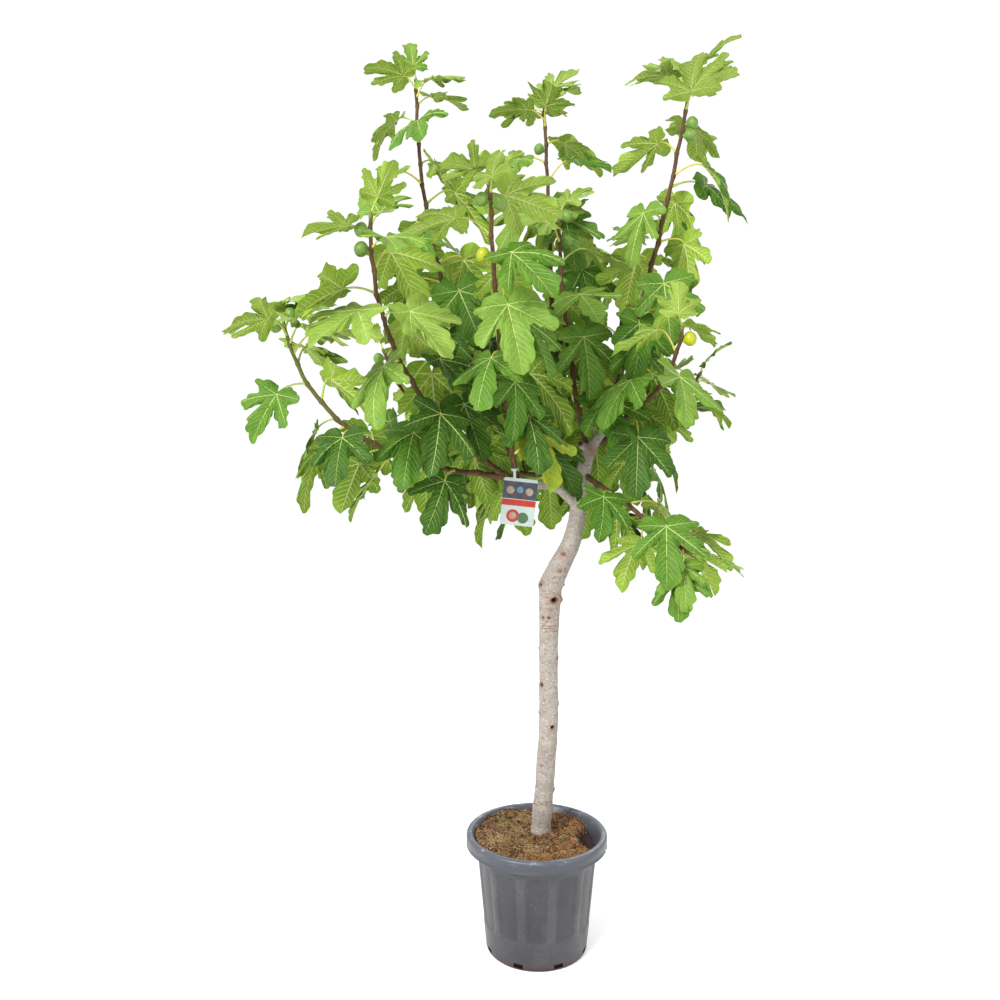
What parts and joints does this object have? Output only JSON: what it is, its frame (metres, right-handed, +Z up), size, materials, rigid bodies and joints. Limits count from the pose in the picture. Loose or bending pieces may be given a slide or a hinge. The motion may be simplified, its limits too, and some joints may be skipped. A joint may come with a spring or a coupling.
{
  "type": "potted fig tree",
  "caption": "Young fig tree on a clear stem with long leafy shoots and green figs, standing in a round nursery pot.",
  "frame": {"origin": "middle of the pot's flat underside", "axes": "+Z up along the stem, -Y towards the side the tree is mostly seen from"},
  "size_m": [1.4208, 1.3202, 2.6253],
  "materials": {
    "pot": "dusty, scuffed",
    "soil": "rough, crumbly",
    "bark": "rough, matte",
    "foliage": "satin",
    "label": "printed, semi-gloss"
  },
  "bodies": {
    "root": {"pot": "pot", "soil": "soil", "trunk": "bark", "bough_right": "bark", "bough_left": "bark", "bough_low_left": "bark", "bough_back": "bark", "label": "label", "shoot_far_left": "foliage", "shoot_front_left": "foliage", "shoot_tall_left": "foliage", "shoot_front_middle": "foliage", "shoot_tall_middle": "foliage", "shoot_short_middle": "foliage", "shoot_tall_right": "foliage", "shoot_right": "foliage", "shoot_low_right": "foliage", "shoot_outer_right": "foliage", "shoot_back_left": "foliage", "shoot_back_middle": "foliage", "shoot_back_right": "foliage", "shoot_back_far_left": "foliage", "shoot_back_low_left": "foliage", "shoot_back_low_right": "foliage"}
  },
  "joints": []
}
